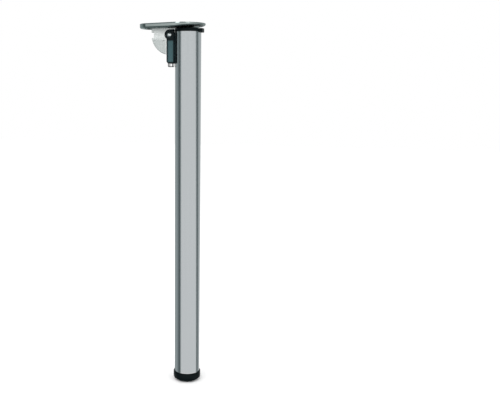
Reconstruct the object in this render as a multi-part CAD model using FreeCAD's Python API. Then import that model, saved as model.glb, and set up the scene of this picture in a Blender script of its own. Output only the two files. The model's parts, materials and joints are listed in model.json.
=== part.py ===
import FreeCAD, Part
import math
import os

from FreeCAD import Vector

# Folding table leg: a die-cast plate screwed under a table top carries a half disc.
# A round steel leg hangs from it on one pin and folds towards the plate's narrow end.
# Millimetres, +Z up. The origin is on the table face, on the axis of the open leg.

# Overall
LEG_HEIGHT = 710.0
TUBE_RADIUS = 25.0
TUBE_WALL = 1.5

# Pivot, measured from the tube's axis and from the table face
PIN_OFFSET = 34.0
PIN_DROP = 21.0
PIN_RADIUS = 4.0
PIN_CLEARANCE = 0.05
BUSH_WALL = 1.5
PIN_HEAD_RADIUS = 4.9
PIN_HEAD_HEIGHT = 2.4
PIN_CROWN_RADIUS = 3.0
PIN_WASHER_RADIUS = 7.0
PIN_WASHER_THICKNESS = 1.0

# Mounting plate: two arcs of different radius joined by tangents
PLATE_THICKNESS = 4.5
WIDE_RADIUS = 42.0
WIDE_CENTRE = 25.0
NARROW_RADIUS = 26.0
NARROW_CENTRE = -36.0
PLATE_EDGE_BEVEL = 0.9
BEAD_WIDTH = 7.0
BEAD_DEPTH = 9.0
BEAD_BEVEL = 2.0
BEAD_SOFT_BEVEL = 0.8
BEAD_FADE_START = 4.0
BEAD_FADE_END = 62.0
SCREW_PAIRS = ((55.0, 14.5), (25.0, 31.0), (-14.0, 26.0), (-47.0, 12.5))
SCREW_HOLE_RADIUS = 2.6
SCREW_HEAD_RADIUS = 5.0
SCREW_HEAD_DEPTH = 2.6

# Half disc and the foot that spreads it into the plate
DISC_RADIUS = 38.0
DISC_HALF_THICKNESS = 5.2
DISC_EDGE_BEVEL = 0.9
LAND_STEP = 0.5
LAND_FRONT = 16.5
LAND_BACK = 10.0
LAND_DROP = 9.5
FLANK_DEPTH = 8.4
FLANK_BASE_HALF_WIDTH = 15.0
FLANK_TOP_HALF_WIDTH = 7.0
FLANK_OVERHANG = 3.0
GROOVE_HALF_WIDTH = 0.9
GROOVE_DEPTH = 1.7
GROOVE_ANGLE = 33.0
CORE_HOLE_RADIUS = 1.3
CORE_HOLE_DEPTH = 2.0
CORE_HOLE_BACK = 14.3
CORE_HOLE_DROP = 10.9

# Friction washers between disc and fork
FRICTION_WASHER_RADIUS = 9.0
FRICTION_WASHER_THICKNESS = 0.6
WASHER_PLAY = 0.05

# Fork bracket
FORK_THICKNESS = 6.1
ARM_FRONT = 6.3
ARM_EDGE_CHAMFER = 1.8
ARM_END_CHAMFER = 3.5
ARM_ROOT = 2.0
HEAD_RADIUS = 9.5
HEAD_PROUD = 0.8
HEAD_TO_CAP = 0.3
SADDLE_THICKNESS = 2.5
SADDLE_ANGLE = 43.0
SADDLE_ABOVE_PIN = 3.0
SEAT_GAP = 0.1
PANEL_DEPTH = 0.6
PANEL_MARGIN = 1.6

# Bracket screws and the strips that they pull against
SCREW_ANGLE = 33.5
HIGH_SCREW_DROP = 14.0
LOW_SCREW_FROM_END = 8.0
SCREW_RADIUS = 2.0
CHEESE_HEAD_RADIUS = 3.3
CHEESE_HEAD_DEPTH = 1.4
CHEESE_HEAD_PLAY = 0.1
STRIP_THICKNESS = 2.6
STRIP_HALF_ANGLE = 9.0
STRIP_MARGIN = 7.0
SCREW_POINT_PAST = 1.2

# Lock bolt, cross pin, spring and pull ring
LOCK_TRAVEL = 5.0
BOLT_REST_GAP = 1.1
BOLT_HALF_WIDTH = 4.8
BOLT_HALF_DEPTH = 4.2
BOLT_LENGTH = 8.0
BOLT_CLEARANCE = 0.2
BOLT_TIP_CHAMFER = 0.8
NOTCH_SIDE_PLAY = 0.3
NOTCH_END_PLAY = 0.8
CROSS_PIN_RADIUS = 1.5
CROSS_PIN_BELOW_TIP = 4.9
CROSS_PIN_FIT = 0.03
STRAP_GAP = 0.05
STRAP_THICKNESS = 1.4
STRAP_ABOVE_PIN = 2.6
RING_BELOW_ARM = 6.5
RING_FLOOR = 1.2
RING_POST = 1.4
RING_ROUND = 1.0
SEAT_PLATE_THICKNESS = 1.5
SEAT_PLATE_FROM_END = 0.8
SEAT_PLATE_PLAY = 0.1
SPIGOT_RADIUS = 2.0
SPIGOT_HEIGHT = 2.2
SPRING_PULLED_LENGTH = 4.6
SPRING_WIRE_RADIUS = 0.4
SPRING_RADIUS = 3.1
SPRING_TURNS = 3.5
SPRING_RUNS_PER_TURN = 16

# Tube slot and top cap
SLOT_HALF_WIDTH = 6.5
DISC_RUN_CLEARANCE = 1.0
TUBE_TOP_ABOVE_PIN = 5.5
CAP_THICKNESS = 6.0
CAP_OVERHANG = 0.5
PLUG_WALL = 2.4
PLUG_DEPTH = 9.0
PLUG_GAP = 0.1
LUG_REACH = 29.6
LUG_HALF_WIDTH = 9.0
LUG_DROP = 1.4
LUG_ROUND = 2.0

# Foot: insert in the tube, nut, stud and glide
GLIDE_RADIUS = 27.2
GLIDE_HEIGHT = 17.5
GLIDE_CHAMFER = 3.0
GLIDE_SOLE_RADIUS = 22.0
GLIDE_CORE_OUTER = 18.0
GLIDE_CORE_INNER = 12.0
GLIDE_CORE_DEPTH = 12.0
GLIDE_HUB_RECESS = 2.0
GLIDE_GAP = 0.5
FOOT_TRAVEL = 15.0
STUD_RADIUS = 5.0
STUD_CLEARANCE = 0.05
STUD_PAST_NUT = 1.0
HEX_ACROSS_FLATS = 17.0
STUD_HEAD_HEIGHT = 6.4
NUT_HEIGHT = 8.0
HEX_PLAY = 0.1
INSERT_HEIGHT = 24.0
INSERT_WALL = 2.0
INSERT_FLOOR = 4.0
INSERT_HUB_RADIUS = 13.0
INSERT_RIB = 1.8
INSERT_RIBS = 6

# Sizes that follow from the ones above
PIN_X = -PIN_OFFSET
PIN_Z = -PIN_DROP
FORK_INNER = DISC_HALF_THICKNESS + FRICTION_WASHER_THICKNESS + 2 * WASHER_PLAY
FORK_OUTER = FORK_INNER + FORK_THICKNESS
HEAD_OUTER = FORK_OUTER + HEAD_PROUD
TUBE_TOP = PIN_Z + TUBE_TOP_ABOVE_PIN
TUBE_BOTTOM = -LEG_HEIGHT + GLIDE_HEIGHT + GLIDE_GAP
TUBE_INNER = TUBE_RADIUS - TUBE_WALL
CAP_RADIUS = TUBE_RADIUS + CAP_OVERHANG
BUSH_RADIUS = PIN_RADIUS + PIN_CLEARANCE + BUSH_WALL
RUN_RADIUS = DISC_RADIUS + DISC_RUN_CLEARANCE
BLOCK_TOP = PIN_Z - RUN_RADIUS
CHANNEL_HALF = BOLT_HALF_WIDTH + BOLT_CLEARANCE
BOLT_TOP = PIN_Z - DISC_RADIUS - BOLT_REST_GAP
BOLT_BOTTOM = BOLT_TOP - BOLT_LENGTH
NOTCH_HALF = BOLT_HALF_WIDTH + NOTCH_SIDE_PLAY
NOTCH_FLOOR = DISC_RADIUS + BOLT_REST_GAP - LOCK_TRAVEL - NOTCH_END_PLAY
CROSS_PIN_Z = BOLT_TOP - CROSS_PIN_BELOW_TIP
STRAP_INNER = BOLT_HALF_DEPTH + STRAP_GAP
STRAP_OUTER = STRAP_INNER + STRAP_THICKNESS
SEAT_PLATE_TOP = BOLT_BOTTOM - SPRING_PULLED_LENGTH
SEAT_PLATE_BOTTOM = SEAT_PLATE_TOP - SEAT_PLATE_THICKNESS
ARM_BOTTOM = SEAT_PLATE_BOTTOM - SEAT_PLATE_FROM_END
ARM_LENGTH = PIN_Z - ARM_BOTTOM
RING_BOTTOM = ARM_BOTTOM - RING_BELOW_ARM
SCREW_HEIGHTS = (PIN_Z - HIGH_SCREW_DROP, ARM_BOTTOM + LOW_SCREW_FROM_END)
SADDLE_INNER = TUBE_RADIUS + SEAT_GAP
SADDLE_OUTER = SADDLE_INNER + SADDLE_THICKNESS
STRIP_OUTER = TUBE_INNER - SEAT_GAP
STRIP_INNER = STRIP_OUTER - STRIP_THICKNESS
STUD_BOTTOM = -LEG_HEIGHT + GLIDE_HUB_RECESS
STUD_TOP = TUBE_BOTTOM + INSERT_HEIGHT + FOOT_TRAVEL + STUD_PAST_NUT

X_AXIS = Vector(1, 0, 0)
Y_AXIS = Vector(0, 1, 0)
Z_AXIS = Vector(0, 0, 1)
SIDES = (-1, 1)

# A cutter starts PAST outside the face that it opens, and FAR is beyond any piece.
# Two heights closer than TOUCH are the same height.
PAST = 1.0
FAR = 1000.0
TOUCH = 0.001


def box(x0, x1, y0, y1, z0, z1):
    """A block between two corners."""
    return Part.makeBox(x1 - x0, y1 - y0, z1 - z0, Vector(x0, y0, z0))


def post(radius, z0, z1, x=0.0, y=0.0):
    """A cylinder that stands along Z."""
    return Part.makeCylinder(radius, z1 - z0, Vector(x, y, z0), Z_AXIS)


def cross_bar(radius, y0, y1, x=PIN_X, z=PIN_Z):
    """A cylinder that lies along Y, on the pin's axis unless told otherwise."""
    return Part.makeCylinder(radius, y1 - y0, Vector(x, y0, z), Y_AXIS)


def hexagon(across_flats, z0, z1):
    """A hexagonal prism on the Z axis."""
    corner = across_flats / math.sqrt(3.0)
    points = []
    for step in range(7):
        angle = math.radians(60.0 * step)
        points.append(Vector(corner * math.cos(angle), corner * math.sin(angle), z0))
    face = Part.Face(Part.makePolygon(points))
    return face.extrude(Vector(0, 0, z1 - z0))


def revolve(points):
    """A solid turned about Z from a list of (radius, height) corners."""
    corners = [Vector(radius, 0, height) for radius, height in points]
    face = Part.Face(Part.makePolygon(corners + corners[:1]))
    return face.revolve(Vector(0, 0, 0), Z_AXIS, 360)


def side_profile(points, y0, y1):
    """A prism along Y from corners given as (forward of the pin, above the pin)."""
    corners = [Vector(PIN_X + dx, y0, PIN_Z + dz) for dx, dz in points]
    face = Part.Face(Part.makePolygon(corners + corners[:1]))
    return face.extrude(Vector(0, y1 - y0, 0))


def both_sides(maker):
    """The union of what maker gives on the -Y and the +Y side."""
    return maker(-1).fuse(maker(1))


def span(side, inner, outer):
    """Low and high Y of a layer that lies between two distances on one side."""
    return min(side * inner, side * outer), max(side * inner, side * outer)


def single(shape):
    """The one clean solid of a boolean result."""
    return shape.removeSplitter().Solids[0]


def egg_face(grow, z):
    """The plate's outline, moved outwards by grow: two arcs joined by tangents."""
    wide = WIDE_RADIUS + grow
    narrow = NARROW_RADIUS + grow
    lean = math.asin((wide - narrow) / (WIDE_CENTRE - NARROW_CENTRE))
    wide_x = PIN_X + WIDE_CENTRE
    narrow_x = PIN_X + NARROW_CENTRE
    wide_joint = Vector(wide_x - wide * math.sin(lean), wide * math.cos(lean), z)
    narrow_joint = Vector(narrow_x - narrow * math.sin(lean), narrow * math.cos(lean), z)
    wide_low = Vector(wide_joint.x, -wide_joint.y, z)
    narrow_low = Vector(narrow_joint.x, -narrow_joint.y, z)
    wide_tip = Vector(wide_x + wide, 0, z)
    narrow_tip = Vector(narrow_x - narrow, 0, z)
    edges = [
        Part.Arc(wide_low, wide_tip, wide_joint).toShape(),
        Part.LineSegment(wide_joint, narrow_joint).toShape(),
        Part.Arc(narrow_joint, narrow_tip, narrow_low).toShape(),
        Part.LineSegment(narrow_low, wide_low).toShape(),
    ]
    return Part.Face(Part.Wire(edges))


def bevel_below(shape, size, height):
    """Bevels every edge that lies wholly below a height."""
    return shape.makeChamfer(size, [edge for edge in shape.Edges if edge.BoundBox.ZMax < height])


def plate_floor():
    """The flat sheet of the plate with its lower rim bevelled."""
    floor = egg_face(0.0, -PLATE_THICKNESS).extrude(Vector(0, 0, PLATE_THICKNESS))
    return bevel_below(floor, PLATE_EDGE_BEVEL, -PLATE_THICKNESS / 2)


def plate_bead():
    """The rounded bead on the underside, which sinks into the floor at the wide end."""
    outer = egg_face(0.0, -BEAD_DEPTH).extrude(Vector(0, 0, BEAD_DEPTH))
    inner = egg_face(-BEAD_WIDTH, -BEAD_DEPTH).extrude(Vector(0, 0, BEAD_DEPTH))
    ring = outer.cut(inner)
    ring = bevel_below(ring, BEAD_BEVEL, -BEAD_DEPTH / 2)
    ring = bevel_below(ring, BEAD_SOFT_BEVEL, BEAD_BEVEL / 2 - BEAD_DEPTH)
    depth = BEAD_DEPTH - PIN_DROP
    floor = PLATE_THICKNESS - PIN_DROP
    fade = side_profile(
        [
            (BEAD_FADE_START, -depth),
            (BEAD_FADE_END, -floor),
            (FAR, -floor),
            (FAR, -FAR),
            (BEAD_FADE_START, -FAR),
        ],
        -FAR,
        FAR,
    )
    return ring.cut(fade)


def disc_blank(half):
    """The half disc below the pin and its web to the plate, half a thickness given."""
    left = Vector(PIN_X - DISC_RADIUS, -half, PIN_Z)
    low = Vector(PIN_X, -half, PIN_Z - DISC_RADIUS)
    right = Vector(PIN_X + DISC_RADIUS, -half, PIN_Z)
    top = -PLATE_THICKNESS / 2
    top_right = Vector(right.x, right.y, top)
    top_left = Vector(left.x, left.y, top)
    edges = [
        Part.Arc(left, low, right).toShape(),
        Part.LineSegment(right, top_right).toShape(),
        Part.LineSegment(top_right, top_left).toShape(),
        Part.LineSegment(top_left, left).toShape(),
    ]
    blank = Part.Face(Part.Wire(edges)).extrude(Vector(0, 2 * half, 0))
    rim = []
    for edge in blank.Edges:
        extent = edge.BoundBox
        if extent.YLength < TOUCH and extent.ZMin < top - TOUCH:
            rim.append(edge)
    return blank.makeChamfer(DISC_EDGE_BEVEL, rim)


def disc_land():
    """The land round the pivot that stands a little proud of the half disc's sides."""
    land = disc_blank(DISC_HALF_THICKNESS)
    in_front = box(PIN_X + LAND_FRONT, FAR, -FAR, FAR, -FAR, FAR)
    low_behind = box(-FAR, PIN_X - LAND_BACK, -FAR, FAR, -FAR, PIN_Z - LAND_DROP)
    return land.cut([in_front, low_behind])


def disc_flank():
    """The sloping foot that spreads the half disc into the plate's floor."""
    reach = DISC_RADIUS + FLANK_OVERHANG
    slope = FLANK_BASE_HALF_WIDTH - FLANK_TOP_HALF_WIDTH
    wires = []
    for depth, half_width, length in (
        (PLATE_THICKNESS / 2, FLANK_BASE_HALF_WIDTH, reach + slope),
        (FLANK_DEPTH, FLANK_TOP_HALF_WIDTH, reach),
    ):
        back = PIN_X - reach
        front = PIN_X + length
        corners = [
            Vector(back, -half_width, -depth),
            Vector(front, -half_width, -depth),
            Vector(front, half_width, -depth),
            Vector(back, half_width, -depth),
        ]
        wires.append(Part.makePolygon(corners + corners[:1]))
    return Part.makeLoft(wires, True, True)


def lock_notches():
    """Two notches a quarter turn apart: straight down for open, level for folded."""
    down = box(
        PIN_X - NOTCH_HALF, PIN_X + NOTCH_HALF,
        -FAR, FAR,
        PIN_Z - FAR, PIN_Z - NOTCH_FLOOR,
    )
    level = box(
        PIN_X - DISC_RADIUS - PAST, PIN_X - NOTCH_FLOOR,
        -FAR, FAR,
        PIN_Z - NOTCH_HALF, PIN_Z + NOTCH_HALF,
    )
    return down.fuse(level)


def rim_groove():
    """The slot in the rim on the wide end's side; its straight floor runs out at both ends."""
    low = DISC_RADIUS - GROOVE_DEPTH
    groove = box(low, FAR, -GROOVE_HALF_WIDTH, GROOVE_HALF_WIDTH, -DISC_RADIUS, DISC_RADIUS)
    groove.rotate(Vector(0, 0, 0), Y_AXIS, GROOVE_ANGLE)
    groove.translate(Vector(PIN_X, 0, PIN_Z))
    return groove


def plate_screw_holes():
    """Eight countersunk holes, in four pairs, opened from below through the bead."""
    cutters = []
    for along, across in SCREW_PAIRS:
        for side in SIDES:
            x = PIN_X + along
            y = side * across
            cutters.append(post(SCREW_HOLE_RADIUS, -PLATE_THICKNESS, PAST, x, y))
            cutters.append(post(SCREW_HEAD_RADIUS, -BEAD_DEPTH - PAST, -PLATE_THICKNESS, x, y))
            cutters.append(Part.makeCone(
                SCREW_HEAD_RADIUS, SCREW_HOLE_RADIUS, SCREW_HEAD_DEPTH,
                Vector(x, y, -PLATE_THICKNESS), Z_AXIS,
            ))
    return cutters


def mounting_plate():
    """The casting that is screwed to the table: floor, bead, flank and half disc."""
    disc = disc_blank(DISC_HALF_THICKNESS - LAND_STEP)
    plate = plate_floor().fuse([plate_bead(), disc_flank(), disc, disc_land()])
    plate = plate.cut(plate_screw_holes())
    plate = plate.cut([lock_notches(), rim_groove()])
    plate = plate.cut(cross_bar(BUSH_RADIUS, -FAR, FAR))
    for side in SIDES:
        low, high = span(side, DISC_HALF_THICKNESS - CORE_HOLE_DEPTH, DISC_HALF_THICKNESS)
        x = PIN_X - CORE_HOLE_BACK
        plate = plate.cut(cross_bar(CORE_HOLE_RADIUS, low, high, x, PIN_Z - CORE_HOLE_DROP))
    return single(plate)


def pivot_bush():
    """The sleeve pressed into the half disc."""
    outer = cross_bar(BUSH_RADIUS, -DISC_HALF_THICKNESS, DISC_HALF_THICKNESS)
    return outer.cut(cross_bar(PIN_RADIUS + PIN_CLEARANCE, -FAR, FAR))


def rivet_head(side, base):
    """A raised rivet head on the plane y = side * base."""
    foot = Vector(PIN_X, side * base, PIN_Z)
    return Part.makeCone(
        PIN_HEAD_RADIUS, PIN_CROWN_RADIUS, PIN_HEAD_HEIGHT, foot, Y_AXIS * side,
    )


def pivot_pin():
    """The rivet that the leg turns on: a raised head in front, a peened end behind."""
    back = HEAD_OUTER + PIN_WASHER_THICKNESS
    shaft = cross_bar(PIN_RADIUS, -HEAD_OUTER, back)
    return single(shaft.fuse([rivet_head(-1, HEAD_OUTER), rivet_head(1, back)]))


def pin_washer():
    """The washer under the peened end."""
    outer = cross_bar(PIN_WASHER_RADIUS, HEAD_OUTER, HEAD_OUTER + PIN_WASHER_THICKNESS)
    return outer.cut(cross_bar(PIN_RADIUS, -FAR, FAR))


def friction_washer(side):
    """A thin washer between the half disc and one cheek of the fork."""
    inner = DISC_HALF_THICKNESS + WASHER_PLAY
    low, high = span(side, inner, inner + FRICTION_WASHER_THICKNESS)
    washer = cross_bar(FRICTION_WASHER_RADIUS, low, high)
    return washer.cut(cross_bar(PIN_RADIUS + PIN_CLEARANCE, -FAR, FAR))


def saddle_sector(inner, outer, middle, half_angle, z0, z1):
    """A piece of a ring about the tube's axis, middle degrees round from -X."""
    start = 180.0 + middle - half_angle
    ring = Part.makeCylinder(outer, z1 - z0, Vector(0, 0, z0), Z_AXIS, 2 * half_angle)
    ring = ring.cut(post(inner, z0 - PAST, z1 + PAST))
    ring.rotate(Vector(0, 0, 0), Z_AXIS, start)
    return ring


def bracket_arm(side):
    """One arm of the fork, with a bevelled front edge and a sunk side panel."""
    low, high = span(side, FORK_INNER, FORK_OUTER)
    reach = PIN_OFFSET - TUBE_RADIUS + ARM_ROOT
    arm = side_profile(
        [
            (-ARM_FRONT, 0),
            (reach, 0),
            (reach, ARM_END_CHAMFER - ARM_LENGTH),
            (reach - ARM_END_CHAMFER, -ARM_LENGTH),
            (ARM_END_CHAMFER - ARM_FRONT, -ARM_LENGTH),
            (-ARM_FRONT, ARM_END_CHAMFER - ARM_LENGTH),
        ],
        low,
        high,
    )
    x = PIN_X - ARM_FRONT
    y = side * FORK_OUTER
    corners = [
        Vector(x, y, ARM_BOTTOM),
        Vector(x + ARM_EDGE_CHAMFER, y, ARM_BOTTOM),
        Vector(x, y - side * ARM_EDGE_CHAMFER, ARM_BOTTOM),
    ]
    bevel = Part.Face(Part.makePolygon(corners + corners[:1])).extrude(Vector(0, 0, ARM_LENGTH))
    low, high = span(side, FORK_OUTER - PANEL_DEPTH, FORK_OUTER)
    front = PIN_X - ARM_FRONT + ARM_EDGE_CHAMFER + PANEL_MARGIN
    panel = box(
        front, PIN_X + ARM_FRONT,
        low, high,
        ARM_BOTTOM + ARM_END_CHAMFER, PIN_Z - HEAD_RADIUS - PANEL_MARGIN,
    )
    return arm.cut([bevel, panel])


def bracket_head(side):
    """The round cheek that holds the pin, a little prouder than the arm."""
    low, high = span(side, FORK_INNER, HEAD_OUTER)
    round_part = cross_bar(HEAD_RADIUS, low, high)
    back = PIN_OFFSET - CAP_RADIUS - HEAD_TO_CAP
    return round_part.fuse(box(
        PIN_X, PIN_X + back, low, high, PIN_Z - HEAD_RADIUS, PIN_Z + HEAD_RADIUS,
    ))


def radial_cutter(shape, side):
    """Turns a cutter that points along +X to one side's screw angle."""
    turned = shape.copy()
    turned.rotate(Vector(0, 0, 0), Z_AXIS, 180.0 + side * SCREW_ANGLE)
    return turned


def screw_places():
    """Side and height of each bracket screw."""
    return [(side, height) for side in SIDES for height in SCREW_HEIGHTS]


def screw_bore(z):
    """The counterbored hole of a bracket screw, along +X at height z."""
    shank = Part.makeCylinder(SCREW_RADIUS, FAR, Vector(0, 0, z), X_AXIS)
    seat = Vector(SADDLE_OUTER - CHEESE_HEAD_DEPTH, 0, z)
    return shank.fuse(Part.makeCylinder(CHEESE_HEAD_RADIUS, FAR, seat, X_AXIS))


def hinge_bracket():
    """The cast fork on the tube: two cheeks, two arms, a saddle and the bolt's block."""
    top = PIN_Z + SADDLE_ABOVE_PIN
    saddle = saddle_sector(SADDLE_INNER, SADDLE_OUTER, 0, SADDLE_ANGLE, ARM_BOTTOM, top)
    saddle = saddle.cut(box(-FAR, 0, -FORK_INNER, FORK_INNER, BLOCK_TOP, FAR))
    block = box(
        PIN_X - ARM_FRONT, ARM_ROOT - TUBE_RADIUS,
        -FORK_INNER, FORK_INNER,
        ARM_BOTTOM, BLOCK_TOP,
    )
    body = both_sides(bracket_arm).fuse([both_sides(bracket_head), saddle, block])
    channel = box(
        PIN_X - CHANNEL_HALF, PIN_X + CHANNEL_HALF,
        -FORK_INNER, FORK_INNER,
        ARM_BOTTOM - PAST, BLOCK_TOP + PAST,
    )
    seat_slot = box(
        -FAR, 0,
        -BOLT_HALF_DEPTH, BOLT_HALF_DEPTH,
        SEAT_PLATE_BOTTOM, SEAT_PLATE_TOP + SEAT_PLATE_PLAY,
    )
    front_relief = side_profile(
        [
            (-FAR, ARM_END_CHAMFER - ARM_LENGTH),
            (-ARM_FRONT, ARM_END_CHAMFER - ARM_LENGTH),
            (ARM_END_CHAMFER - ARM_FRONT, -ARM_LENGTH),
            (ARM_END_CHAMFER - ARM_FRONT, -FAR),
            (-FAR, -FAR),
        ],
        -FAR,
        FAR,
    )
    cutters = [channel, seat_slot, front_relief]
    cutters.append(post(SADDLE_INNER, -FAR, FAR))
    cutters.append(cross_bar(PIN_RADIUS, -FAR, FAR))
    for side, z in screw_places():
        cutters.append(radial_cutter(screw_bore(z), side))
    return single(body.cut(cutters))


def bracket_screws():
    """Four cheese-head screws, radial to the tube."""
    screws = []
    for side, z in screw_places():
        start = STRIP_INNER - SCREW_POINT_PAST
        shank = Part.makeCylinder(SCREW_RADIUS, SADDLE_OUTER - start, Vector(start, 0, z), X_AXIS)
        seat = Vector(SADDLE_OUTER - CHEESE_HEAD_DEPTH, 0, z)
        head = Part.makeCylinder(
            CHEESE_HEAD_RADIUS - CHEESE_HEAD_PLAY, CHEESE_HEAD_DEPTH, seat, X_AXIS,
        )
        screws.append(radial_cutter(single(shank.fuse(head)), side))
    return Part.makeCompound(screws)


def backing_strip(side):
    """A curved steel strip inside the tube, tapped for one side's screws."""
    low = min(SCREW_HEIGHTS) - STRIP_MARGIN
    high = max(SCREW_HEIGHTS) + STRIP_MARGIN
    strip = saddle_sector(
        STRIP_INNER, STRIP_OUTER, side * SCREW_ANGLE, STRIP_HALF_ANGLE, low, high,
    )
    for z in SCREW_HEIGHTS:
        hole = Part.makeCylinder(SCREW_RADIUS, FAR, Vector(0, 0, z), X_AXIS)
        strip = strip.cut(radial_cutter(hole, side))
    return single(strip)


def disc_slot(z0, end_x):
    """The space that the half disc needs, from the hinge side to end_x and down to z0."""
    return box(-FAR, end_x, -SLOT_HALF_WIDTH, SLOT_HALF_WIDTH, z0, 0)


def leg_tube():
    """The round tube, slotted at the top for the half disc and drilled for the screws."""
    tube = post(TUBE_RADIUS, TUBE_BOTTOM, TUBE_TOP).cut(post(TUBE_INNER, -FAR, FAR))
    round_end = BLOCK_TOP + SLOT_HALF_WIDTH
    cutters = [disc_slot(round_end, 0.0)]
    cutters.append(Part.makeCylinder(
        SLOT_HALF_WIDTH, FAR, Vector(-FAR, 0, round_end), X_AXIS,
    ))
    for side, z in screw_places():
        hole = Part.makeCylinder(SCREW_RADIUS, FAR, Vector(0, 0, z), X_AXIS)
        cutters.append(radial_cutter(hole, side))
    return single(tube.cut(cutters))


def top_cap():
    """The moulded cap: slotted flange, plug ring and a lug that hooks over the tube."""
    top = TUBE_TOP + CAP_THICKNESS
    flange = post(CAP_RADIUS, TUBE_TOP, top)
    lug = box(0, LUG_REACH, -LUG_HALF_WIDTH, LUG_HALF_WIDTH, TUBE_TOP - LUG_DROP, top)
    upright = []
    for edge in lug.Edges:
        if edge.BoundBox.ZLength > CAP_THICKNESS and edge.BoundBox.XMin > PAST:
            upright.append(edge)
    lug = lug.makeFillet(LUG_ROUND, upright)
    lug = lug.cut(post(TUBE_RADIUS + PLUG_GAP, -FAR, TUBE_TOP))
    body = flange.fuse(lug).removeSplitter()
    outer = TUBE_INNER - PLUG_GAP
    plug = post(outer, TUBE_TOP - PLUG_DEPTH, TUBE_TOP)
    plug = plug.cut(post(outer - PLUG_WALL, -FAR, FAR))
    body = body.fuse(plug)
    end = PIN_X + RUN_RADIUS
    slot = disc_slot(-FAR, end - SLOT_HALF_WIDTH)
    slot = slot.fuse(post(SLOT_HALF_WIDTH, -FAR, 0, end - SLOT_HALF_WIDTH))
    corner = box(
        end - SLOT_HALF_WIDTH, end, -DISC_HALF_THICKNESS - DISC_RUN_CLEARANCE,
        DISC_HALF_THICKNESS + DISC_RUN_CLEARANCE, -FAR, 0,
    )
    return single(body.cut([slot, corner]))


def lock_bolt():
    """The square bolt that jumps into a notch, with a bevelled tip."""
    bolt = box(
        PIN_X - BOLT_HALF_WIDTH, PIN_X + BOLT_HALF_WIDTH,
        -BOLT_HALF_DEPTH, BOLT_HALF_DEPTH,
        BOLT_BOTTOM, BOLT_TOP,
    )
    tip = []
    for edge in bolt.Edges:
        if edge.BoundBox.ZMin > BOLT_TOP - TOUCH and edge.BoundBox.YLength > BOLT_HALF_DEPTH:
            tip.append(edge)
    bolt = bolt.makeChamfer(BOLT_TIP_CHAMFER, tip)
    return bolt.cut(cross_bar(CROSS_PIN_RADIUS + CROSS_PIN_FIT, -FAR, FAR, PIN_X, CROSS_PIN_Z))


def bolt_pin():
    """The cross pin that ties the bolt to the pull ring's straps."""
    return cross_bar(CROSS_PIN_RADIUS, -STRAP_OUTER, STRAP_OUTER, PIN_X, CROSS_PIN_Z)


def pull_ring():
    """The stirrup under the bracket: two straps, a window in each, one floor."""
    ring = box(
        PIN_X - BOLT_HALF_WIDTH, PIN_X + BOLT_HALF_WIDTH,
        -STRAP_OUTER, STRAP_OUTER,
        RING_BOTTOM, CROSS_PIN_Z + STRAP_ABOVE_PIN,
    )
    low = [edge for edge in ring.Edges if edge.BoundBox.ZMax < RING_BOTTOM + TOUCH]
    ring = ring.makeFillet(RING_ROUND, low)
    inside = box(
        PIN_X - FAR, PIN_X + FAR,
        -STRAP_INNER, STRAP_INNER,
        RING_BOTTOM + RING_FLOOR, FAR,
    )
    window = box(
        PIN_X - BOLT_HALF_WIDTH + RING_POST, PIN_X + BOLT_HALF_WIDTH - RING_POST,
        -FAR, FAR,
        RING_BOTTOM + RING_FLOOR, ARM_BOTTOM,
    )
    pin_hole = cross_bar(CROSS_PIN_RADIUS + CROSS_PIN_FIT, -FAR, FAR, PIN_X, CROSS_PIN_Z)
    return single(ring.cut([inside, window, pin_hole]))


def spring_seat():
    """The plate slid through the block that the spring stands on."""
    half = BOLT_HALF_DEPTH - SEAT_PLATE_PLAY
    plate = box(
        PIN_X - ARM_FRONT + ARM_END_CHAMFER, PIN_X + PIN_OFFSET - SADDLE_INNER,
        -half, half,
        SEAT_PLATE_BOTTOM, SEAT_PLATE_TOP,
    )
    spigot = post(
        SPIGOT_RADIUS, SEAT_PLATE_BOTTOM, SEAT_PLATE_TOP + SPIGOT_HEIGHT, PIN_X, 0,
    )
    return single(plate.fuse(spigot))


def lock_spring():
    """The compression spring under the bolt: an eight-sided wire in short runs."""
    low = SEAT_PLATE_TOP + SPRING_WIRE_RADIUS
    rise = BOLT_BOTTOM - SPRING_WIRE_RADIUS - low
    runs = int(SPRING_TURNS * SPRING_RUNS_PER_TURN)
    path = []
    for run in range(runs + 1):
        angle = 2 * math.pi * run / SPRING_RUNS_PER_TURN
        x = PIN_X + SPRING_RADIUS * math.cos(angle)
        path.append(Vector(x, SPRING_RADIUS * math.sin(angle), low + rise * run / runs))
    along = (path[1] - path[0]).normalize()
    upwards = along.cross(X_AXIS).normalize()
    rim = []
    for corner in range(8):
        angle = 2 * math.pi * (corner + 0.5) / 8
        across = X_AXIS * (SPRING_WIRE_RADIUS * math.cos(angle))
        rim.append(path[0] + across + upwards * (SPRING_WIRE_RADIUS * math.sin(angle)))
    section = Part.makePolygon(rim + rim[:1])
    return Part.makePolygon(path).makePipeShell([section], True, False, 1)


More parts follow.
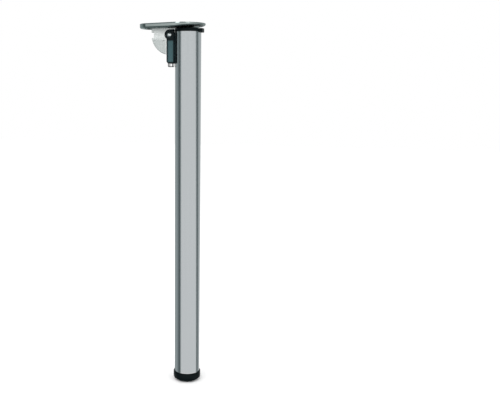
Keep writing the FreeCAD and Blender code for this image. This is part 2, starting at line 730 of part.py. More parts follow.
def foot_insert():
    """The moulded plug in the tube's foot: wall, floor, hub and ribs."""
    bottom = TUBE_BOTTOM
    top = bottom + INSERT_HEIGHT
    outer = TUBE_INNER - PLUG_GAP
    plug = post(outer, bottom, top)
    plug = plug.cut(post(outer - INSERT_WALL, bottom + INSERT_FLOOR, top + PAST))
    plug = plug.fuse(post(INSERT_HUB_RADIUS, bottom, top))
    ribs = []
    for step in range(INSERT_RIBS):
        rib = box(
            INSERT_HUB_RADIUS - PAST, outer - INSERT_WALL / 2,
            -INSERT_RIB / 2, INSERT_RIB / 2,
            bottom + INSERT_FLOOR / 2, top - INSERT_WALL,
        )
        rib.rotate(Vector(0, 0, 0), Z_AXIS, 360.0 * step / INSERT_RIBS)
        ribs.append(rib)
    plug = plug.fuse(ribs)
    bore = post(STUD_RADIUS + STUD_CLEARANCE, bottom - PAST, top + PAST)
    pocket = hexagon(HEX_ACROSS_FLATS + 2 * HEX_PLAY, top - NUT_HEIGHT, top + PAST)
    return single(plug.cut([bore, pocket]))


def insert_nut():
    """The hexagon nut in the top of the insert's hub."""
    top = TUBE_BOTTOM + INSERT_HEIGHT
    nut = hexagon(HEX_ACROSS_FLATS, top - NUT_HEIGHT, top)
    return nut.cut(post(STUD_RADIUS + STUD_CLEARANCE, -FAR, FAR))


def foot_stud():
    """The levelling screw, its head sunk in the glide; it fills the nut at full travel."""
    head = hexagon(HEX_ACROSS_FLATS, STUD_BOTTOM, STUD_BOTTOM + STUD_HEAD_HEIGHT)
    return single(head.fuse(post(STUD_RADIUS, STUD_BOTTOM, STUD_TOP)))


def foot_glide():
    """The round plastic foot, cored from below and bevelled to a smaller sole."""
    low = -LEG_HEIGHT
    top = low + GLIDE_HEIGHT
    glide = revolve([
        (0, STUD_BOTTOM),
        (GLIDE_CORE_INNER, STUD_BOTTOM),
        (GLIDE_CORE_INNER, low + GLIDE_CORE_DEPTH),
        (GLIDE_CORE_OUTER, low + GLIDE_CORE_DEPTH),
        (GLIDE_CORE_OUTER, low),
        (GLIDE_SOLE_RADIUS, low),
        (GLIDE_RADIUS, low + GLIDE_CHAMFER),
        (GLIDE_RADIUS, top),
        (0, top),
    ])
    head = hexagon(HEX_ACROSS_FLATS, STUD_BOTTOM - PAST, STUD_BOTTOM + STUD_HEAD_HEIGHT)
    return single(glide.cut([head, post(STUD_RADIUS, STUD_BOTTOM - PAST, top + PAST)]))


def main():
    """Builds every piece and writes one STEP file for each."""
    os.makedirs("parts", exist_ok=True)
    pieces = {
        "mounting_plate": mounting_plate(),
        "pivot_bush": pivot_bush(),
        "pivot_pin": pivot_pin(),
        "pin_washer": pin_washer(),
        "friction_washer_front": friction_washer(-1),
        "friction_washer_back": friction_washer(1),
        "hinge_bracket": hinge_bracket(),
        "bracket_screws": bracket_screws(),
        "backing_strip_front": backing_strip(1),
        "backing_strip_back": backing_strip(-1),
        "leg_tube": leg_tube(),
        "top_cap": top_cap(),
        "lock_bolt": lock_bolt(),
        "bolt_pin": bolt_pin(),
        "pull_ring": pull_ring(),
        "spring_seat": spring_seat(),
        "lock_spring": lock_spring(),
        "foot_insert": foot_insert(),
        "insert_nut": insert_nut(),
        "foot_stud": foot_stud(),
        "foot_glide": foot_glide(),
    }
    for name, shape in pieces.items():
        shape.exportStep(f"parts/{name}.step")
        size = shape.BoundBox
        print(f"{name}: {len(shape.Solids)} solid, {shape.Volume:.0f} mm3, valid {shape.isValid()}, "
              f"x {size.XMin:.1f} {size.XMax:.1f} y {size.YMin:.1f} {size.YMax:.1f} "
              f"z {size.ZMin:.1f} {size.ZMax:.1f}")


main()
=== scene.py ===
# %% [markdown]
# # A folding table leg
# The leg is a round satin tube that hangs from a die-cast plate on one rivet.
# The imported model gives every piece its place, so the first step loads it and
# keeps its box: the dressed model must not grow past it.

import json
import math

import bmesh
import bpy
from mathutils import Matrix, Vector

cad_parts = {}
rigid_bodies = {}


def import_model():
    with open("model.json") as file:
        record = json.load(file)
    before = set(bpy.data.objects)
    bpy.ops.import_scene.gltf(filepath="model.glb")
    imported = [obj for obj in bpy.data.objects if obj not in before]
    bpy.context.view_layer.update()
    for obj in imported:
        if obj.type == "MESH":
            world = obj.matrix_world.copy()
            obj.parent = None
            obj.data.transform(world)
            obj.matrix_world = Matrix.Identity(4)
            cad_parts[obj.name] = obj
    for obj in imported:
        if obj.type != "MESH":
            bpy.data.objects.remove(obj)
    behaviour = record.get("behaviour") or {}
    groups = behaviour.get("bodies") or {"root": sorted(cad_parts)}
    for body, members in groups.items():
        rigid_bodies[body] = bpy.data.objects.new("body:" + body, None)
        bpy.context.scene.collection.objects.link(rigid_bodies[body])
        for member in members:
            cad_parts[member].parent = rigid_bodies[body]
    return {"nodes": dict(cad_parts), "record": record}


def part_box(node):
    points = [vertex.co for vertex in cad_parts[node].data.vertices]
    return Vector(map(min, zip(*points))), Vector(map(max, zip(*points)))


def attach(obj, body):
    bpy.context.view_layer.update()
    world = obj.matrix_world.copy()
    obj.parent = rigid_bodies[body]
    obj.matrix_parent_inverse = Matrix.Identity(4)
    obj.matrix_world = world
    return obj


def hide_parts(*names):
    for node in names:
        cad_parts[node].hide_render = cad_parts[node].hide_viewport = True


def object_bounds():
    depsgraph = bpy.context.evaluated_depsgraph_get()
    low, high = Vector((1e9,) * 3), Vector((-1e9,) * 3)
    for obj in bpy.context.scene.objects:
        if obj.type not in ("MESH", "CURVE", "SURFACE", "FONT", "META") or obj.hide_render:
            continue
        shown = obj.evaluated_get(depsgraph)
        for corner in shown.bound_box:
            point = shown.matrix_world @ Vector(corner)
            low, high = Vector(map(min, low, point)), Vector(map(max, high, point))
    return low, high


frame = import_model()
CAD_BOX = [list(corner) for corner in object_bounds()]
MM = 0.001
print("box of the packed model, m:", CAD_BOX)

# %% [markdown]
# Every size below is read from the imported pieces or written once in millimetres.
# The pivot comes from the fold joint, so that plate, fork and rivet agree.

# %% Sizes
joints = {joint["name"]: joint for joint in frame["record"]["behaviour"]["joints"]}
PIVOT = Vector(joints["leg_fold"]["pos_m"])
TUBE_LOW, TUBE_HIGH = (Vector(corner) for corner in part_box("leg_tube"))
TUBE_RADIUS = TUBE_HIGH.x
TUBE_WALL = 1.5 * MM
print("pivot at", [round(value, 4) for value in PIVOT], "tube radius", round(TUBE_RADIUS, 4))

# %% [markdown]
# Shader maths reads best as plain expressions. One small class wraps a socket, and
# each operator adds the Math node that it stands for, so `1 - mask * 0.5` just works.

# %% Shader maths


class Wire:
    """A node socket that can be added, scaled and compared like a number."""

    def __init__(self, tree, socket):
        self.tree = tree
        self.socket = socket

    def math(self, operation, *values, clamp=False):
        node = self.tree.nodes.new("ShaderNodeMath")
        node.operation = operation
        node.use_clamp = clamp
        for socket, value in zip(node.inputs, values):
            feed(self.tree, socket, value)
        return Wire(self.tree, node.outputs[0])

    def __add__(self, other):
        return self.math("ADD", self, other)

    def __radd__(self, other):
        return self.math("ADD", other, self)

    def __sub__(self, other):
        return self.math("SUBTRACT", self, other)

    def __rsub__(self, other):
        return self.math("SUBTRACT", other, self)

    def __mul__(self, other):
        return self.math("MULTIPLY", self, other)

    def __rmul__(self, other):
        return self.math("MULTIPLY", other, self)

    def __truediv__(self, other):
        return self.math("DIVIDE", self, other)

    def absolute(self):
        return self.math("ABSOLUTE", self)

    def smooth(self, low, high):
        """0 below low, 1 above high, and a soft step between them."""
        node = self.tree.nodes.new("ShaderNodeMapRange")
        node.interpolation_type = "SMOOTHSTEP"
        feed(self.tree, node.inputs["Value"], self)
        node.inputs["From Min"].default_value = low
        node.inputs["From Max"].default_value = high
        return Wire(self.tree, node.outputs["Result"])


def feed(tree, socket, value):
    """Links a wire to a socket, or writes a plain value on it."""
    if isinstance(value, Wire):
        tree.links.new(value.socket, socket)
    else:
        socket.default_value = value


def add_node(tree, kind, out, settings, inputs):
    """Makes a node, sets it up, feeds its inputs and returns one of its outputs."""
    made = tree.nodes.new(kind)
    for label, value in dict(settings).items():
        setattr(made, label, value)
    for label, value in inputs.items():
        feed(tree, made.inputs[label.replace("_", " ")], value)
    return Wire(tree, made.outputs[out])


# %% [markdown]
# A finish is one Principled material. Its `node` method makes any other node from its
# type, its settings and its inputs. Constants go on the shader's own sockets, and only
# colour, roughness and the bump change over a surface.

# %% A material builder


class Finish:
    """One material on the Principled shader."""

    def __init__(self, name, colour, metallic=0.0, roughness=0.5, **constants):
        self.material = bpy.data.materials.new(name)
        self.material.use_nodes = True
        self.tree = self.material.node_tree
        self.shader = self.tree.nodes["Principled BSDF"]
        self.material.diffuse_color = (*colour, 1.0)
        self.put("Base Color", (*colour, 1.0))
        self.put("Metallic", metallic)
        self.put("Roughness", roughness)
        for label, value in constants.items():
            self.put(label.replace("_", " "), value)

    def put(self, label, value):
        feed(self.tree, self.shader.inputs[label], value)

    def node(self, kind, out, settings=(), **inputs):
        return add_node(self.tree, kind, out, settings, inputs)

    def place(self):
        """Object coordinates, in metres, in the model's own frame."""
        return self.node("ShaderNodeTexCoord", "Object")

    def stretched(self, x, y, z):
        """Object coordinates scaled along each axis, for grain with a direction."""
        return self.node("ShaderNodeMapping", "Vector", Vector=self.place(), Scale=(x, y, z))

    def axes(self):
        """The x, y and z wires of the Object coordinates."""
        split = self.tree.nodes.new("ShaderNodeSeparateXYZ")
        feed(self.tree, split.inputs[0], self.place())
        return tuple(Wire(self.tree, socket) for socket in split.outputs)

    def noise(self, scale, detail=2.0, vector=None):
        vector = vector or self.place()
        return self.node("ShaderNodeTexNoise", "Fac", Vector=vector, Scale=scale, Detail=detail)

    def speckle(self, scale):
        return self.node("ShaderNodeTexVoronoi", "Distance", Vector=self.place(), Scale=scale)

    def attribute(self, name):
        return self.node("ShaderNodeAttribute", "Fac", {"attribute_name": name})

    def blend(self, factor, first, second):
        """A colour between two colours."""
        made = self.tree.nodes.new("ShaderNodeMix")
        made.data_type = "RGBA"
        feed(self.tree, made.inputs[0], factor)
        feed(self.tree, made.inputs[6], (*first, 1.0))
        feed(self.tree, made.inputs[7], (*second, 1.0))
        return Wire(self.tree, made.outputs[2])

    def bump(self, height, depth_mm, strength=1.0):
        self.put("Normal", self.node(
            "ShaderNodeBump", "Normal", Height=height, Distance=depth_mm * MM, Strength=strength,
        ))
        return self


def span(wire, low, high):
    """Spreads a 0 to 1 wire over a range."""
    return wire * (high - low) + low


# %% [markdown]
# The plate is a zinc die casting that was tumbled and then buffed on its bead. The
# metal is a cool grey. A fine cast grain covers it, and the `polish` attribute of the
# mesh, 1 on the bead and 0 in the wide end's floor, takes the grain away and brings
# the gloss.

# %% Cast zinc


def cast_zinc():
    metal = Finish("cast_zinc", (0.36, 0.41, 0.395), metallic=1.0)
    polish = metal.attribute("polish")
    cloud = metal.noise(60.0, 3.0)
    grain = metal.noise(900.0, 3.0)
    flow = metal.noise(30.0, 4.0, metal.stretched(1.0, 3.0, 1.0))
    # The half disc's side faces are lifted almost to white here: partly the brighter machined land, partly a
    # painted highlight for the glare on those faces.
    metal.put("Base Color", metal.blend(
        span(cloud * 0.5 + flow * 0.5, 0.06, 0.30) + metal.attribute("machined_and_glare") * 0.72,
        (0.24, 0.30, 0.29), (0.84, 0.87, 0.86),
    ))
    matte = span(grain, 0.34, 0.50) + flow * 0.06
    metal.put("Roughness", matte * (1 - polish) + span(cloud, 0.07, 0.14) * polish)
    metal.bump((grain * 0.7 + cloud * 0.3) * (1 - polish * 0.92), 0.12)
    return metal.material


# %% [markdown]
# The tube carries a satin silver coat. The photograph shows it smooth, with soft
# bands of light along it and no visible grain, so its only texture is a very
# fine orange peel and a drawn line pattern that runs along the tube. Its lowest
# end is painted lighter, a painted highlight for the line of light at the foot.

# %% Satin silver


def satin_silver():
    metal = Finish("satin_silver", (0.52, 0.55, 0.565), metallic=1.0, roughness=0.2)
    drawn = metal.noise(1.0, 2.0, metal.stretched(900.0, 900.0, 3.0))
    peel = metal.noise(420.0, 1.0)
    metal.put("Roughness", span(drawn, 0.15, 0.20) + peel * 0.02)
    # The lowest two millimetres of the tube are painted lighter: a painted highlight for the line of light
    # where the tube meets the foot.
    height = metal.axes()[2] / MM
    painted_foot_highlight = 1 - height.smooth(TUBE_LOW.z / MM + 1.0, TUBE_LOW.z / MM + 2.2)
    metal.put("Base Color", metal.blend(
        drawn * 0.25 + painted_foot_highlight * 0.75, (0.50, 0.53, 0.545), (0.66, 0.68, 0.69),
    ))
    metal.bump(peel * 0.6 + drawn * 0.4, 0.004)
    return metal.material


# %% [markdown]
# Two blacks: a powder coat with a slight pebble on the cast fork, and moulded
# nylon with a spark-eroded grain on cap and foot. Both are near black with a soft
# sheen, and they differ in how broad their highlights are. On the fork, a band of
# each arm is painted a lighter teal: a painted highlight for the arm's lit face.

# %% Black finishes


def black_coat():
    coat = Finish("black_coat", (0.006, 0.013, 0.015), roughness=0.32)
    coat.put("Specular IOR Level", 0.12)
    pebble = coat.speckle(1500.0)
    cloud = coat.noise(120.0, 2.0)
    x, y, z = coat.axes()
    # A band of each fork arm, set by these x and z limits, is painted a lighter teal than the coat: a
    # painted highlight for the arm's lit front face.
    along = (x * 1000).smooth(-38.6, -36.0) * (1 - (x * 1000).smooth(-27.6, -25.6))
    painted_lit_panel = along * (z * 1000).smooth(-73.5, -71.0) * (1 - (z * 1000).smooth(-34.0, -30.6))
    coat.put("Roughness", span(cloud, 0.24, 0.36))
    coat.put("Base Color", coat.blend(painted_lit_panel, (0.002, 0.006, 0.008), (0.046, 0.094, 0.104)))
    coat.bump(pebble, 0.03, 0.6)
    return coat.material


def black_nylon():
    plastic = Finish("black_nylon", (0.001, 0.004, 0.005), roughness=0.38)
    plastic.put("Specular IOR Level", 0.08)
    grain = plastic.noise(1600.0, 2.0)
    cloud = plastic.noise(80.0, 2.0)
    plastic.put("Roughness", span(cloud, 0.32, 0.44))
    plastic.put("Base Color", plastic.blend(cloud, (0.001, 0.003, 0.004), (0.002, 0.006, 0.007)))
    plastic.bump(grain, 0.02, 0.6)
    return plastic.material


# %% [markdown]
# The small metal pieces share one recipe: a colour, a roughness and turned or
# drawn marks that follow the piece's own axis.

# %% Small metals and plastics


def turned_metal(name, colour, rough, along, depth=0.01):
    """Metal with fine marks; along stretches the marks along X, Y or Z."""
    metal = Finish(name, colour, metallic=1.0, roughness=rough)
    stretch = [700.0, 700.0, 700.0]
    stretch["XYZ".index(along)] = 40.0
    marks = metal.noise(1.0, 2.0, metal.stretched(*stretch))
    stain = metal.noise(150.0, 3.0)
    dark = tuple(value * 0.82 for value in colour)
    metal.put("Base Color", metal.blend(stain, dark, colour))
    metal.put("Roughness", span(marks, rough * 0.8, rough * 1.25))
    metal.bump(marks, depth)
    return metal.material


def moulded_plastic(name, colour, rough, shine=0.5):
    plastic = Finish(name, colour, roughness=rough)
    plastic.put("Specular IOR Level", shine)
    grain = plastic.noise(900.0, 2.0)
    cloud = plastic.noise(70.0, 2.0)
    dark = tuple(value * 0.8 for value in colour)
    plastic.put("Base Color", plastic.blend(cloud, dark, colour))
    plastic.put("Roughness", span(cloud, rough * 0.85, rough * 1.15))
    plastic.bump(grain, 0.02, 0.5)
    return plastic.material


FINISHES = {
    "die_cast_zinc": cast_zinc(),
    "satin_tube": satin_silver(),
    "black_bracket": black_coat(),
    "black_plastic": black_nylon(),
    "black_ring": moulded_plastic("black_ring", (0.003, 0.006, 0.007), 0.34, 0.12),
    "grey_insert": moulded_plastic("grey_insert", (0.09, 0.09, 0.09), 0.5),
    "washer_nylon": moulded_plastic("washer_nylon", (0.62, 0.60, 0.54), 0.45),
    "polished_pin": turned_metal("polished_pin", (0.70, 0.74, 0.74), 0.10, "Y", 0.003),
    "zinc_plated_steel": turned_metal("zinc_plated_steel", (0.60, 0.62, 0.64), 0.3, "Z"),
    "hardened_steel": turned_metal("hardened_steel", (0.28, 0.29, 0.31), 0.32, "Z"),
    "spring_steel": turned_metal("spring_steel", (0.55, 0.56, 0.58), 0.22, "Z"),
    "bronze_bush": turned_metal("bronze_bush", (0.52, 0.34, 0.17), 0.38, "Y"),
    "black_screws": turned_metal("black_screws", (0.035, 0.037, 0.040), 0.35, "X"),
}
SLOT_OF = {row["node"]: row["material_slot"] for row in frame["record"]["subparts"]}
print("finishes:", len(FINISHES))

# %% [markdown]
# Pieces keep their place in their mesh, and their object stays at the origin. These
# helpers make such an object, apply its modifiers, and shade it: smooth across
# gentle angles and crisp at edges.

# %% Mesh helpers


def add_object(name, mesh):
    made = bpy.data.objects.new(name, mesh)
    bpy.context.scene.collection.objects.link(made)
    return made


def mesh_object(name, points, faces):
    """An object from points in metres."""
    mesh = bpy.data.meshes.new(name)
    mesh.from_pydata([tuple(point) for point in points], [], faces)
    mesh.validate()
    return add_object(name, mesh)


def outward(mesh, merge=1e-6):
    """Merges doubles and turns every face outwards."""
    work = bmesh.new()
    work.from_mesh(mesh)
    bmesh.ops.remove_doubles(work, verts=work.verts, dist=merge)
    bmesh.ops.recalc_face_normals(work, faces=work.faces)
    work.to_mesh(mesh)
    work.free()


def shade(mesh, degrees=32.0):
    mesh.shade_smooth()
    mesh.set_sharp_from_angle(angle=math.radians(degrees))


def applied(thing):
    """Bakes an object's modifiers into its mesh and drops them."""
    tree = bpy.context.evaluated_depsgraph_get()
    mesh = bpy.data.meshes.new_from_object(thing.evaluated_get(tree))
    thing.modifiers.clear()
    thing.data = mesh
    return thing


def carve(target, cutters, operation="DIFFERENCE"):
    """Boolean cuts or joins, applied one after another; the cutters are removed."""
    for cutter in cutters:
        step = target.modifiers.new("carve", "BOOLEAN")
        step.operation = operation
        step.solver = "EXACT"
        step.object = cutter
        applied(target)
        bpy.data.objects.remove(cutter, do_unlink=True)
    return target


def soften(target, width_mm, segments=3, degrees=32.0):
    """Rounds the edges of a piece, as casting, moulding or deburring does."""
    step = target.modifiers.new("soften", "BEVEL")
    step.width = width_mm * MM
    step.segments = segments
    step.limit_method = "ANGLE"
    step.angle_limit = math.radians(degrees)
    step.use_clamp_overlap = True
    step.harden_normals = False
    return applied(target)


def dress(piece, node):
    """Gives a piece its finish and its body, and lets it stand for its node."""
    piece.data.materials.clear()
    piece.data.materials.append(FINISHES[SLOT_OF[node]])
    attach(piece, BODY_OF[node])
    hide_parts(node)
    print(piece.name, "stands for", node, "with", len(piece.data.polygons), "faces")
    return piece


BODY_OF = {}
for body, names in frame["record"]["behaviour"]["bodies"].items():
    for name in names:
        BODY_OF[name] = body

# %% [markdown]
# Simple cutters and blanks come from one turned profile: a closed list of radii and
# heights spun about an axis. A fine step count keeps the tube's reflections clean.

# %% Turned shapes


def turned(name, profile, steps=64, centre=(0, 0, 0), axis=(0, 0, 1)):
    """A solid of revolution from (radius, height) corners in millimetres.

    A corner on the axis becomes one point, so that the end is closed by a fan."""
    turn = Vector((0, 0, 1)).rotation_difference(Vector(axis)).to_matrix()
    points = []
    rows = []
    for radius, height in profile:
        count = steps if radius else 1
        rows.append([len(points) + step for step in range(count)])
        for step in range(count):
            angle = 2 * math.pi * step / steps
            local = Vector((radius * math.cos(angle), radius * math.sin(angle), height)) * MM
            points.append(Vector(centre) + turn @ local)
    faces = []
    for below, above in zip(rows, rows[1:] + rows[:1]):
        for step in range(steps):
            ring = [below[step % len(below)], below[(step + 1) % len(below)]]
            ring += [above[(step + 1) % len(above)], above[step % len(above)]]
            corners = list(dict.fromkeys(ring))
            if len(corners) > 2:
                faces.append(tuple(corners))
    made = mesh_object(name, points, faces)
    outward(made.data)
    return made


def rod(name, radius, low, high, centre=(0, 0, 0), axis=(0, 0, 1), steps=64):
    """A plain cylinder between two heights, in millimetres along its axis."""
    axis = Vector(axis)
    turn = Vector((0, 0, 1)).rotation_difference(axis).to_matrix()
    work = bmesh.new()
    bmesh.ops.create_cone(
        work, cap_ends=True, segments=steps, radius1=radius * MM, radius2=radius * MM,
        depth=(high - low) * MM,
    )
    middle = Vector(centre) + axis * ((low + high) / 2 * MM)
    bmesh.ops.transform(work, matrix=Matrix.Translation(middle) @ turn.to_4x4(), verts=work.verts)
    mesh = bpy.data.meshes.new(name)
    work.to_mesh(mesh)
    work.free()
    return add_object(name, mesh)


def block(name, low, high):
    """A box between two corners in millimetres."""
    work = bmesh.new()
    bmesh.ops.create_cube(work, size=1.0)
    size = (Vector(high) - Vector(low)) * MM
    middle = (Vector(high) + Vector(low)) / 2 * MM
    bmesh.ops.transform(
        work, matrix=Matrix.Translation(middle) @ Matrix.Diagonal((*size, 1.0)), verts=work.verts,
    )
    mesh = bpy.data.meshes.new(name)
    work.to_mesh(mesh)
    work.free()
    return add_object(name, mesh)


# %% [markdown]
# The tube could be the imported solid, but its thirty flats would break the long
# reflections. It is turned again here in 192 steps, then the same slot and the same
# four screw holes are cut into it, and its ends get the small burr-free bevel
# that catches a line of light at the foot.

# %% Leg tube
SLOT_HALF = 6.5
SLOT_END = -60.0 + SLOT_HALF
SCREW_ANGLE = 33.5
SCREW_HEIGHTS = (-35.0, -67.0)


def leg_tube():
    low = TUBE_LOW.z / MM
    high = TUBE_HIGH.z / MM
    outer = TUBE_RADIUS / MM
    inner = outer - TUBE_WALL / MM
    lip = 0.35
    tube = turned("tube_satin", [
        (outer - lip, low), (outer, low + lip), (outer, low + 5), (outer, -80.0),
        (outer, high - lip), (outer - lip, high), (inner, high), (inner, low),
    ], 192)
    cutters = [
        block("slot", (-outer - 5, -SLOT_HALF, SLOT_END), (0, SLOT_HALF, 5)),
        rod("slot_end", SLOT_HALF, 0, outer + 5, (0, 0, SLOT_END * MM), (-1, 0, 0)),
    ]
    for side in (-1, 1):
        angle = math.radians(180 + side * SCREW_ANGLE)
        axis = (math.cos(angle), math.sin(angle), 0)
        for height in SCREW_HEIGHTS:
            cutters.append(rod("screw_hole", 2.0, 0, outer + 5, (0, 0, height * MM), axis, 24))
    carve(tube, cutters)
    shade(tube.data)
    return dress(tube, "leg_tube")


tube = leg_tube()

# %% [markdown]
# The plate's outline is an egg: two arcs joined by tangents. Its underside is a
# ring of cross-sections laid along that outline: up the rim, over the round bead and down
# to the floor. The bead sinks into the floor towards the wide end, so its depth
# is a function of the place along the plate.

# %% Plate outline and bead
WIDE = (PIVOT.x / MM + 25.0, 42.0)
NARROW = (PIVOT.x / MM - 36.0, 26.0)
LEAN = math.asin((WIDE[1] - NARROW[1]) / (WIDE[0] - NARROW[0]))
FLOOR = 4.5
BEAD_DEPTH = 9.0
BEAD_WIDTH = 7.0
BEAD_ROUND = 3.2
FADE = (4.0, 62.0)


def egg_stations(arc_steps=72, line_steps=28):
    """Places along the outline: centre of its arc, direction, and arc radius."""
    stations = []
    half_turn = math.pi / 2 + LEAN
    for step in range(arc_steps + 1):
        angle = -half_turn + 2 * half_turn * step / arc_steps
        stations.append((WIDE[0], WIDE[1], angle))
    for step in range(1, line_steps):
        share = step / line_steps
        x = WIDE[0] + (NARROW[0] - WIDE[0]) * share
        stations.append((x, WIDE[1] + (NARROW[1] - WIDE[1]) * share, half_turn))
    for step in range(arc_steps + 1):
        angle = half_turn + (2 * math.pi - 2 * half_turn) * step / arc_steps
        stations.append((NARROW[0], NARROW[1], angle))
    for step in range(1, line_steps):
        share = step / line_steps
        x = NARROW[0] + (WIDE[0] - NARROW[0]) * share
        stations.append((x, NARROW[1] + (WIDE[1] - NARROW[1]) * share, -half_turn))
    return stations


def bead_depth(x):
    """Depth of the bead below the table face at a place along the plate."""
    share = (x - PIVOT.x / MM - FADE[0]) / (FADE[1] - FADE[0])
    share = min(max(share, 0.0), 1.0)
    return BEAD_DEPTH - (BEAD_DEPTH - FLOOR) * share


def rim_section(depth, steps=6):
    """The (inward, down) points from the table face over the bead to the floor."""
    points = [(0.7, 0.0), (0.2, 0.2), (0.0, 0.7)]
    outer = min(BEAD_ROUND, depth - 1.2)
    for step in range(steps + 1):
        angle = math.pi / 2 * step / steps
        points.append((outer * (1 - math.cos(angle)), depth - outer + outer * math.sin(angle)))
    rise = depth - FLOOR
    inner = min(BEAD_ROUND, max(rise, 0.02))
    for step in range(steps + 1):
        angle = math.pi / 2 * step / steps
        inward = BEAD_WIDTH - inner + inner * math.sin(angle)
        points.append((inward, depth - inner + inner * math.cos(angle)))
    points.append((BEAD_WIDTH + 0.01, FLOOR))
    return points


def plate_blank():
    stations = egg_stations()
    points = []
    rows = 0
    for x, radius, angle in stations:
        edge_x = x + radius * math.cos(angle)
        section = rim_section(bead_depth(edge_x))
        rows = len(section)
        for inward, down in section:
            reach = radius - inward
            points.append(Vector((x + reach * math.cos(angle), reach * math.sin(angle), -down)) * MM)
    count = len(stations)
    faces = []
    for station in range(count):
        beside = (station + 1) % count
        for row in range(rows - 1):
            faces.append((
                station * rows + row, station * rows + row + 1,
                beside * rows + row + 1, beside * rows + row,
            ))
    faces.append(tuple(station * rows for station in range(count)))
    faces.append(tuple(station * rows + rows - 1 for station in reversed(range(count))))
    made = mesh_object("plate_casting", points, faces)
    outward(made.data, 2e-6)
    return made


blank = plate_blank()
print("plate blank:", len(blank.data.polygons), "faces")

# %% [markdown]
# The hinge body stands on the floor: a sloping flank, and on it the half disc with
# its two lock notches. The disc is a side profile pushed through its thickness. It is
# joined to the plate, and the screw holes, the bore and the crescent are cut last.

# %% Half disc, flank and holes
DISC_RADIUS = 38.0
DISC_HALF = 5.2
LAND_STEP = 0.5
LAND_FRONT = 16.5
LAND_BACK = 10.0
LAND_DROP = 9.5
GROOVE_ANGLE = 33.0
GROOVE_HALF = 0.9
GROOVE_FLOOR = 36.3
PX = PIVOT.x / MM
PZ = PIVOT.z / MM
SCREW_PAIRS = ((55.0, 14.5), (25.0, 31.0), (-14.0, 26.0), (-47.0, 12.5))


def prism(name, outline, low, high):
    """A profile in the XZ plane pushed from low to high along Y, in millimetres."""
    count = len(outline)
    points = [Vector((x, low, z)) * MM for x, z in outline]
    points += [Vector((x, high, z)) * MM for x, z in outline]
    faces = [tuple(range(count)), tuple(reversed(range(count, 2 * count)))]
    for step in range(count):
        beside = (step + 1) % count
        faces.append((step, step + count, beside + count, beside))
    made = mesh_object(name, points, faces)
    outward(made.data)
    return made


def half_disc(name, half):
    outline = [(PX + DISC_RADIUS, -2.0)]
    steps = 96
    for step in range(steps + 1):
        angle = -math.pi * step / steps
        outline.append((PX + DISC_RADIUS * math.cos(angle), PZ + DISC_RADIUS * math.sin(angle)))
    outline.append((PX - DISC_RADIUS, -2.0))
    return prism(name, outline, -half, half)


def land():
    """The raised land round the pivot: the whole disc less its outer fields."""
    raised = half_disc("land", DISC_HALF)
    return carve(raised, [
        block("in_front", (PX + LAND_FRONT, -9, PZ - 60), (PX + 60, 9, 9)),
        block("low_behind", (PX - 60, -9, PZ - 60), (PX - LAND_BACK, 9, PZ - LAND_DROP)),
    ])


def flank():
    """The sloping foot under the half disc."""
    points = []
    for depth, half, front in ((2.0, 15.0, 49.0), (8.4, 7.0, 41.0)):
        points += [
            Vector((PX - 41.0, -half, -depth)) * MM, Vector((PX + front, -half, -depth)) * MM,
            Vector((PX + front, half, -depth)) * MM, Vector((PX - 41.0, half, -depth)) * MM,
        ]
    faces = [(0, 1, 2, 3), (4, 7, 6, 5)]
    for step in range(4):
        beside = (step + 1) % 4
        faces.append((step, step + 4, beside + 4, beside))
    made = mesh_object("flank", points, faces)
    outward(made.data)
    return made


def notch_cutters():
    half = 5.1
    floor = 33.3
    return [
        block("notch_down", (PX - half, -9, PZ - 60), (PX + half, 9, PZ - floor)),
        block("notch_level", (PX - 60, -9, PZ - half), (PX - floor, 9, PZ + half)),
    ]


def hinge_body():
    body = half_disc("half_disc", DISC_HALF - LAND_STEP)
    soften(body, 1.0, 4)
    raised = soften(land(), 0.45, 3)
    base = soften(flank(), 0.8, 3)
    carve(body, [raised, base], "UNION")
    return carve(body, notch_cutters() + [rim_slot()])


def rim_slot():
    """The slot along the rim; its straight floor makes it run out at both ends."""
    slot = block("rim_slot", (GROOVE_FLOOR, -GROOVE_HALF, -20), (60, GROOVE_HALF, 20))
    turn = Matrix.Rotation(math.radians(GROOVE_ANGLE), 4, "Y")
    slot.data.transform(Matrix.Translation(PIVOT) @ turn)
    return slot


def screw_cutters():
    cutters = []
    for along, across in SCREW_PAIRS:
        for side in (-1, 1):
            centre = Vector((PX + along, side * across, 0)) * MM
            cutters.append(turned("countersink", [
                (0, 1), (2.6, 1), (2.6, 2.6 - FLOOR), (5, -FLOOR), (5, -12), (0, -12),
            ], 48, centre))
    return cutters


def mounting_plate():
    plate = carve(blank, [hinge_body()], "UNION")
    carve(plate, screw_cutters())
    carve(plate, [rod("bore", 5.55, -12, 12, PIVOT, (0, 1, 0), 48)])
    for side in (-1, 1):
        centre = Vector((PX - 14.3, side * DISC_HALF, PZ - 10.9)) * MM
        carve(plate, [rod("core_mark", 1.3, -2, 2, centre, (0, 1, 0), 20)])
    paint_polish(plate.data)
    shade(plate.data, 28.0)
    return dress(plate, "mounting_plate")


